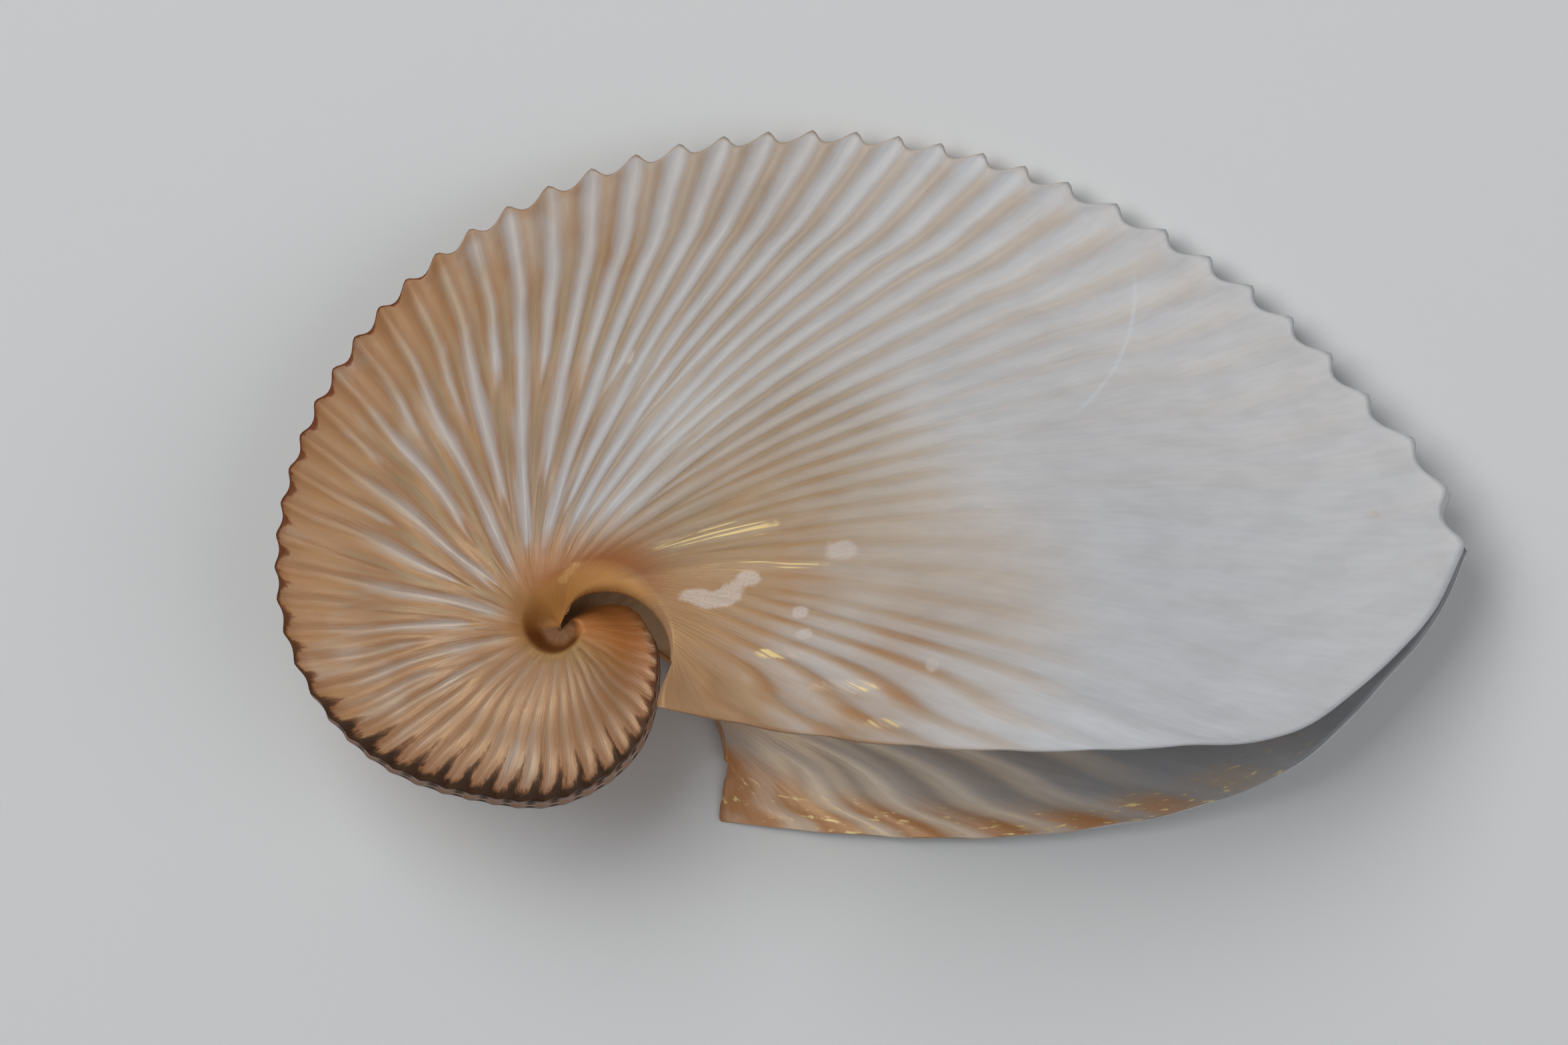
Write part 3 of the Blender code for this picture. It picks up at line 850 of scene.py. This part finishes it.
class Graph:
    """Adds nodes to one material. All calls but put give back an output."""

    def __init__(self, material):
        material.use_nodes = True
        self.tree = material.node_tree
        self.surface = self.tree.nodes["Principled BSDF"]

    def put(self, socket, value):
        """Links an output to a socket, or sets the socket's own value."""
        if isinstance(value, bpy.types.NodeSocket):
            self.tree.links.new(value, socket)
        else:
            socket.default_value = value

    def read(self, name, output="Fac"):
        """An attribute of the sheet."""
        node = self.tree.nodes.new("ShaderNodeAttribute")
        node.attribute_name = name
        return node.outputs[output]

    def math(self, operation, *values, clamp=False):
        node = self.tree.nodes.new("ShaderNodeMath")
        node.operation = operation
        node.use_clamp = clamp
        for socket, value in zip(node.inputs, values):
            self.put(socket, value)
        return node.outputs[0]

    def times(self, first, *more):
        for factor in more:
            first = self.math("MULTIPLY", first, factor)
        return first

    def plus(self, first, second):
        return self.math("ADD", first, second)

    def minus(self, first, second):
        return self.math("SUBTRACT", first, second)

    def larger(self, first, second):
        return self.math("MAXIMUM", first, second)

    def vector(self, operation, first, second):
        node = self.tree.nodes.new("ShaderNodeVectorMath")
        node.operation = operation
        self.put(node.inputs[0], first)
        self.put(node.inputs[1], second)
        return node.outputs["Value"] if operation == "LENGTH" else node.outputs["Vector"]

    def length(self, vector):
        return self.vector("LENGTH", vector, (0, 0, 0))

    def ease(self, value, low, high, start=0.0, end=1.0):
        """Smooth step from start at low to end at high."""
        node = self.tree.nodes.new("ShaderNodeMapRange")
        node.interpolation_type = "SMOOTHSTEP"
        for socket, number in zip(node.inputs, (value, low, high, start, end)):
            self.put(socket, number)
        return node.outputs["Result"]

    def noise(self, place, scale, detail, roughness):
        node = self.tree.nodes.new("ShaderNodeTexNoise")
        self.put(node.inputs["Vector"], place)
        self.put(node.inputs["Scale"], scale)
        self.put(node.inputs["Detail"], detail)
        self.put(node.inputs["Roughness"], roughness)
        return node.outputs["Fac"]

    def stretched_noise(self, fan, stretch, detail, roughness):
        """Noise drawn out along the ribs."""
        return self.noise(self.vector("MULTIPLY", fan, stretch), 1.0, detail, roughness)

    def mix(self, share, first, second, blend="MIX"):
        node = self.tree.nodes.new("ShaderNodeMix")
        node.data_type = "RGBA"
        node.blend_type = blend
        self.put(node.inputs["Factor"], share)
        self.put(node.inputs["A"], first)
        self.put(node.inputs["B"], second)
        return node.outputs["Result"]

    def ramp(self, value, stops):
        """Colour along (position, colour) stops."""
        node = self.tree.nodes.new("ShaderNodeValToRGB")
        self.put(node.inputs["Fac"], value)
        elements = node.color_ramp.elements
        elements[0].position, elements[0].color = stops[0]
        elements[1].position, elements[1].color = stops[-1]
        for position, colour in stops[1:-1]:
            elements.new(position).color = colour
        return node.outputs["Color"]

    def patches(self, plane, ovals, grain):
        """Ovals in the plane of the coil, melted together, with a ragged edge."""
        field = self.times(self.minus(grain, 0.5), PATCH_RAGS)
        for x, y, half_x, half_y in ovals:
            away = self.vector("SUBTRACT", plane, (x, y, 0))
            away = self.vector("MULTIPLY", away, (1 / half_x, 1 / half_y, 1))
            field = self.plus(field, self.ease(self.length(away), *PATCH_FADE))
        return self.ease(field, *PATCH_EDGE)

    def arc(self, plane, x, y, radius, low_y, high_y):
        """A thin line along part of a circle in the plane of the coil, right of its centre."""
        away = self.length(self.vector("SUBTRACT", plane, (x, y, 0)))
        line = self.ease(self.math("ABSOLUTE", self.minus(away, radius)), *LINE_WIDTH)
        place = self.tree.nodes.new("ShaderNodeSeparateXYZ")
        self.put(place.inputs[0], plane)
        ends = (
            ("X", x, x + 1), ("Y", low_y, low_y + LINE_FADE), ("Y", high_y, high_y - LINE_FADE),
        )
        for value, low, high in ends:
            line = self.times(line, self.ease(place.outputs[value], low, high))
        return line

    def bump(self, height, distance, strength=1.0):
        node = self.tree.nodes.new("ShaderNodeBump")
        self.put(node.inputs["Height"], height)
        self.put(node.inputs["Distance"], distance)
        self.put(node.inputs["Strength"], strength)
        return node.outputs["Normal"]


def between_ribs(g):
    """Where a place lies between two ribs: 0 on a crest, 1 in the middle of a groove."""
    return g.math("DIVIDE", g.math("ARCCOSINE", g.read("wave")), math.pi)


def rib_colour(g, place, bands, clouds):
    """Pearly crests on a ground that is white, grey, tan or olive by zone."""
    gap, turn = g.read("gap"), g.read("turn")
    variety = g.plus(g.times(g.minus(clouds, 0.5), CLOUD_VARIETY), 1.0)
    variety = g.plus(variety, g.times(g.minus(bands, 0.5), BAND_VARIETY))
    young_edge = g.times(
        g.ease(gap, *YOUNG_EDGE_GAP), g.ease(turn, *YOUNG_EDGE_COMES),
        g.ease(turn, *YOUNG_EDGE_GOES), YOUNG_EDGE_SHARE,
    )
    warmth = g.times(g.read("warmth"), variety, g.minus(1.0, young_edge))
    ground = g.ramp(warmth, GROUND_RAMP)
    crest_colour = g.ramp(warmth, CREST_RAMP)

    crest = g.ease(g.minus(g.read("crest_share"), place), *CREST_EDGE)
    ribbing = g.times(crest, g.read("ribbing"))
    ribbing = g.math("MULTIPLY", ribbing, g.ease(bands, *RIBBING_BANDS), clamp=True)
    ground = g.mix(g.times(g.read("core"), g.ease(clouds, *CORE_CLOUDS)), ground, OLIVE_BROWN)
    deep = g.times(g.ease(place, *DEEP_GROOVE), g.read("deep"))
    ground = g.mix(deep, ground, GROOVE_OLIVE)
    inner_crest = g.times(g.ease(gap, *INNER_CREST_GAP), g.ease(turn, *INNER_CREST_TURN))
    crest_colour = g.mix(inner_crest, crest_colour, PEARL)
    return g.mix(ribbing, ground, crest_colour)


def add_stain(g, colour, fan, place, bands):
    """Brown stain on the keel, drawn out as dark streaks along the grooves of its oldest part.

    Gives back the new colour and the share of the stain.
    """
    gap, stain_depth, stain_dark = g.read("gap"), g.read("stain_depth"), g.read("stain_dark")
    ragged = g.stretched_noise(fan, *RAGS)
    depth = g.times(stain_depth, g.ease(bands, *STAIN_BANDS))
    inset = g.math("DIVIDE", gap, g.larger(depth, LEAST_STAIN))
    stained = g.ease(stain_depth, *STAINED_DEPTH)
    reach = g.plus(g.ease(place, *STREAK_GROOVE), g.ease(ragged, *STREAK_RAGS))
    streak = g.ease(g.math("DIVIDE", inset, g.larger(reach, LEAST_STREAK)), *STREAK_END)
    edge = g.ease(g.plus(inset, g.ease(ragged, *EDGE_RAGS)), *EDGE_DEPTH)
    stain = g.times(g.larger(streak, edge), stained)
    colour = g.mix(g.times(g.ease(inset, *HAZE_DEPTH), stained), colour, RUSSET)
    colour = g.mix(g.ease(stain, *BROWN_STAIN), colour, g.mix(stain_dark, RUST, UMBER))
    colour = g.mix(g.times(g.ease(stain, *DARK_STAIN), stain_dark), colour, DARK)

    # The far row of nodules is worn pale.
    pale = g.times(
        g.ease(g.read("far"), *PALE_FLANK), g.ease(gap, *PALE_GAP), g.ease(place, *PALE_TIP),
        stained,
    )
    return g.mix(pale, colour, WORN_PINK), stain


def add_umbilicus(g, colour, bands, clouds):
    """Amber glaze, painted shade along the shoulder, a ring and early whorl painted lighter, and
    the pit with painted shade on its wall and a greyer bottom.
    """
    radius, turn = g.read("radius"), g.read("turn")
    glaze = g.times(g.read("amber"), g.ease(bands, *GLAZE_BANDS))
    colour = g.mix(glaze, colour, g.mix(g.ease(clouds, *GLAZE_CLOUDS), AMBER, OLIVE))
    # A dark line of painted shade in the groove along the shoulder.
    colour = g.mix(g.times(g.read("shoulder"), SHOULDER_SHARE), colour, SHOULDER_PAINTED_SHADE)
    # The rolled ring in its gold, painted lighter as light that it catches and over the shade of
    # the pit's wall.
    colour = g.mix(g.times(g.read("ring"), RING_SHARE), colour, RING_GOLD_AND_PAINTED_LIGHT)
    # The early whorl's own orange, painted lighter against the shade under the ring.
    early = g.times(g.ease(turn, *EARLY_TURN), g.ease(g.read("gap"), *EARLY_GAP))
    colour = g.mix(early, colour, EARLY_ORANGE_AND_PAINTED_LIGHT)
    in_pit = g.times(g.ease(g.read("roll"), *PIT_ROLL), g.ease(turn, *PIT_GOES))
    # The pit's wall, from the early whorl round to the left, is darkened as painted shade.
    wall = g.times(in_pit, g.ease(turn, *PIT_BROWN_TURN), PIT_SHARE)
    colour = g.mix(wall, colour, PIT_PAINTED_SHADE)
    bottom = g.times(in_pit, g.ease(radius, *PIT_BOTTOM_RADIUS), PIT_SHARE)
    return g.mix(bottom, colour, PIT_GREY)


def add_marks_and_painted_glints(g, colour, fan, plane, fibres):
    """Worn patches, the line where growth once paused, and glossy streaks and a spot on the ring
    with painted golden glints.

    Gives back the new colour and the share of the glossy coat.
    """
    grain = g.noise(plane, *GRAIN)
    worn = g.patches(plane, WORN_PATCHES, grain)
    worn = g.times(worn, g.ease(g.noise(plane, *WORN_MOTTLE), *WORN_SHARE))
    colour = g.mix(worn, colour, WORN_WHITE)
    colour = g.mix(g.times(g.arc(plane, *GROWTH_LINE), GROWTH_LINE_SHARE), colour, WHITE)

    # Thin golden lines painted on the glossy streaks as glints.
    lines = g.ease(g.stretched_noise(fan, *PAINTED_GLINT_NOISE), *PAINTED_GLINT_EDGE)
    gloss_and_painted_glint = g.patches(plane, GLOSS_AND_PAINTED_GLINT_STREAKS, grain)
    colour = g.mix(g.times(gloss_and_painted_glint, lines), colour, PAINTED_GLINT_GOLD)
    # A painted golden highlight on the ring, broken up by fibres; it is glossy too.
    on_ring = g.patches(plane, RING_GLOSS_AND_PAINTED_GLINT, grain)
    on_ring = g.times(on_ring, g.ease(fibres, *RING_GLINT_FIBRES))
    return g.mix(on_ring, colour, RING_PAINTED_HIGHLIGHT), g.larger(gloss_and_painted_glint, on_ring)


def finish_surface(g, colour, roughness, normal, coat, coat_bump):
    """Sets the shader; a glossy coat has a rougher normal of its own, so that it sparkles."""
    inputs = g.surface.inputs
    g.put(inputs["Base Color"], colour)
    g.put(inputs["Roughness"], roughness)
    g.put(inputs["Normal"], normal)
    g.put(inputs["Coat Weight"], coat)
    inputs["Coat Roughness"].default_value = COAT_ROUGHNESS
    g.put(inputs["Coat Normal"], g.bump(coat_bump, COAT_BUMP * MM))


def outer_material():
    """Outside of the sheet: pearly crests on a tan ground, brown nodules on the old keel."""
    material = bpy.data.materials.new("shell_outside")
    g = Graph(material)
    fan, plane = g.read("fan", "Vector"), g.read("plane", "Vector")
    bands, fibres = g.stretched_noise(fan, *BANDS), g.stretched_noise(fan, *FIBRES)
    clouds = g.noise(plane, *CLOUDS)
    place = between_ribs(g)
    colour = rib_colour(g, place, bands, clouds)
    colour, stain = add_stain(g, colour, fan, place, bands)
    colour = add_umbilicus(g, colour, bands, clouds)
    colour, coat = add_marks_and_painted_glints(g, colour, fan, plane, fibres)

    blotches = g.stretched_noise(fan, *BLOTCHES)
    shade = g.times(g.ease(fibres, *FIBRE_SHADE), g.ease(blotches, *BLOTCH_SHADE))
    colour = g.mix(1.0, colour, shade, "MULTIPLY")
    specular = g.minus(SPECULAR, g.times(stain, STAIN_SPECULAR_LOSS))
    g.put(g.surface.inputs["Specular IOR Level"], specular)
    roughness = g.minus(ROUGHNESS, g.times(g.read("gloss"), CORE_SMOOTHNESS))
    roughness = g.plus(roughness, g.times(fibres, FIBRE_ROUGHNESS))
    normal = g.bump(fibres, FIBRE_BUMP * MM, SOFT_BUMP)
    finish_surface(g, colour, roughness, normal, coat, fibres)
    return material


def inner_material():
    """Inside of the sheet: tan near the ears and the margin, grey and smooth to the lip, with
    painted light in the slit and painted golden glints at the lower margin.
    """
    material = bpy.data.materials.new("shell_inside")
    g = Graph(material)
    fan, plane = g.read("fan", "Vector"), g.read("plane", "Vector")
    gap, turn = g.read("gap"), g.read("turn")
    fibres, clouds = g.stretched_noise(fan, *INNER_FIBRES), g.noise(plane, *INNER_CLOUDS)
    margin = g.larger(g.ease(gap, *INNER_MARGIN_GAP), g.ease(turn, *INNER_EAR_TURN))
    margin = g.plus(g.times(margin, INNER_MARGIN_SHARE), INNER_FLANK_SHARE)
    variety = g.times(g.minus(clouds, 0.5), INNER_CLOUD_VARIETY)
    warmth = g.times(g.plus(g.read("warmth"), variety), margin)
    ground = g.ramp(g.larger(warmth, g.read("inner_warmth")), INNER_RAMP)
    groove = g.times(g.ease(between_ribs(g), *INNER_GROOVE), g.read("ribs"), INNER_GROOVE_SHARE)
    pale = g.mix(g.ease(g.read("radius"), *INNER_PALE_REACH), INNER_PALE, SHADE_GREY)
    colour = g.mix(groove, ground, pale)
    # The inside seen through the slit is painted lighter, as painted light over its shade.
    slit = g.times(g.ease(g.read("ribs"), *SLIT_RIBS), g.ease(turn, *SLIT_TURN))
    colour = g.mix(slit, colour, SLIT_PAINTED_LIGHT)

    # Golden specks painted along the lower margin of the far flank as glints, with a glossy coat on
    # them.
    grain = g.stretched_noise(fan, *SPECKS)
    gloss_and_painted_glint = g.times(
        g.ease(gap, *SPECK_GAP), g.ease(turn, *SPECK_TURN), g.ease(grain, *SPECK_EDGE),
    )
    colour = g.mix(gloss_and_painted_glint, colour, PAINTED_GLINT_GOLD)
    colour = g.mix(1.0, colour, g.ease(fibres, *INNER_SHADE), "MULTIPLY")
    roughness = g.ease(clouds, *INNER_ROUGHNESS)
    normal = g.bump(fibres, INNER_BUMP * MM, SOFT_BUMP)
    finish_surface(g, colour, roughness, normal, gloss_and_painted_glint, g.plus(fibres, grain))
    return material


def floor_material():
    """Plain matt ground for the studio."""
    material = bpy.data.materials.new("pale_floor")
    g = Graph(material)
    g.surface.inputs["Base Color"].default_value = srgb(*FLOOR_GREY)
    g.surface.inputs["Roughness"].default_value = FLOOR_ROUGHNESS
    return material


def view_axes():
    """Right, up and back axes of the photograph's view, in the frame's axes."""
    tilt = math.radians(VIEW_TILT)
    away = Vector(VIEW_AWAY).normalized()
    side = Vector((-away.y, away.x))
    along = Vector((away.x * math.cos(tilt), away.y * math.cos(tilt), -math.sin(tilt)))
    side = Vector((side.x, side.y, 0))
    back = Vector((away.x * math.sin(tilt), away.y * math.sin(tilt), math.cos(tilt)))
    right = along * away.x + side * side.x
    up = along * away.y + side * side.y
    turn = rest_matrix().to_3x3()
    return turn @ right, turn @ up, turn @ back


def add_camera(axis_place):
    """The photograph's view, from far off; the coil's axis comes out at its own pixel."""
    right, up, back = view_axes()
    to_centre_x = (PHOTO_WIDTH / 2 - AXIS_PIXEL[0]) * MM_PER_PIXEL * MM
    to_centre_y = (AXIS_PIXEL[1] - PHOTO_HEIGHT / 2) * MM_PER_PIXEL * MM
    target = axis_place + right * to_centre_x + up * to_centre_y
    data = bpy.data.cameras.new("camera")
    data.sensor_width = SENSOR
    data.lens = SENSOR * CAMERA_DISTANCE / (PHOTO_WIDTH * MM_PER_PIXEL * MM)
    camera = bpy.data.objects.new("camera", data)
    bpy.context.scene.collection.objects.link(camera)
    turn = Matrix((right, up, back)).transposed().to_4x4()
    camera.matrix_world = Matrix.Translation(target + back * CAMERA_DISTANCE) @ turn
    bpy.context.scene.camera = camera
    return target


def add_area_light(target, colour, name, direction, distance, size, power):
    """A square soft light that faces the target."""
    data = bpy.data.lights.new(name, "AREA")
    data.size = size
    data.energy = power
    data.color = colour
    light = bpy.data.objects.new(name, data)
    bpy.context.scene.collection.objects.link(light)
    direction = Vector(direction).normalized()
    light.location = target + direction * distance
    light.rotation_mode = "QUATERNION"
    light.rotation_quaternion = direction.to_track_quat("Z", "Y")
    return light


def add_lights(target):
    """Soft studio light from above and small warm lamps for the glints."""
    for name, direction, *values in SOFT_LIGHTS:
        add_area_light(target, COOL_WHITE, name, direction, *values)
    for name, direction, *values in WARM_LAMPS:
        direction = rest_matrix().to_3x3() @ Vector(direction)
        lamp = add_area_light(target, WARM_WHITE, name, direction, *values)
        lamp.visible_diffuse = False
    world = bpy.data.worlds.new("studio")
    world.use_nodes = True
    background = world.node_tree.nodes["Background"]
    background.inputs["Color"].default_value = SKY
    background.inputs["Strength"].default_value = SKY_STRENGTH
    bpy.context.scene.world = world


def add_floor():
    """A pale floor under the shell."""
    mesh = bpy.data.meshes.new("floor")
    bm = bmesh.new()
    bmesh.ops.create_grid(bm, x_segments=1, y_segments=1, size=FLOOR_HALF_SIZE)
    bm.to_mesh(mesh)
    bm.free()
    mesh.materials.append(floor_material())
    floor = bpy.data.objects.new("floor", mesh)
    bpy.context.scene.collection.objects.link(floor)
    floor.location.z = cad_low.z


sheet, sheet_offset = build_sheet("shell_sheet", outer_material(), inner_material())
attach(sheet, "root")
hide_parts("shell")
camera_target = add_camera(sheet_offset)
add_lights(camera_target)
add_floor()
bpy.context.scene.view_settings.view_transform = "Standard"
